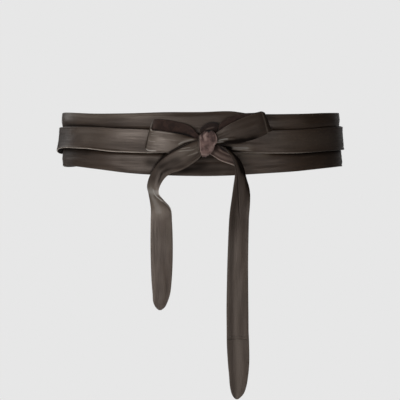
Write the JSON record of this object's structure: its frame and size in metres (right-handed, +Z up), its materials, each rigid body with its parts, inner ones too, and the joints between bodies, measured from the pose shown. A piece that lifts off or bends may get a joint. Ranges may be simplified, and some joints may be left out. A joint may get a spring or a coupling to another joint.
{
  "type": "leather wrap belt",
  "caption": "Wide shaped leather waist panel with long wrap-around ties crossed behind and tied in a soft bow with hanging ends at the front.",
  "frame": {"origin": "middle of the waist opening, level with the middle of the side straps", "axes": "+Z up through the waist opening, -Y towards the front where the bow is, +X to the right for someone who looks at the front"},
  "size_m": [0.2812, 0.207, 0.2731],
  "materials": {
    "smooth_leather": "satin dark brown grain side",
    "flesh_side": "matte mauve-brown suede"
  },
  "bodies": {
    "root": {"front_panel": "smooth_leather", "tie_left_front": "smooth_leather", "tie_right_front": "smooth_leather", "half_knot": "flesh_side", "bow_loop_left": "smooth_leather", "bow_loop_right": "smooth_leather", "knot_wrap": "flesh_side", "tail_left": "smooth_leather", "tail_right": "smooth_leather", "tail_right_tip": "smooth_leather"}
  },
  "joints": []
}
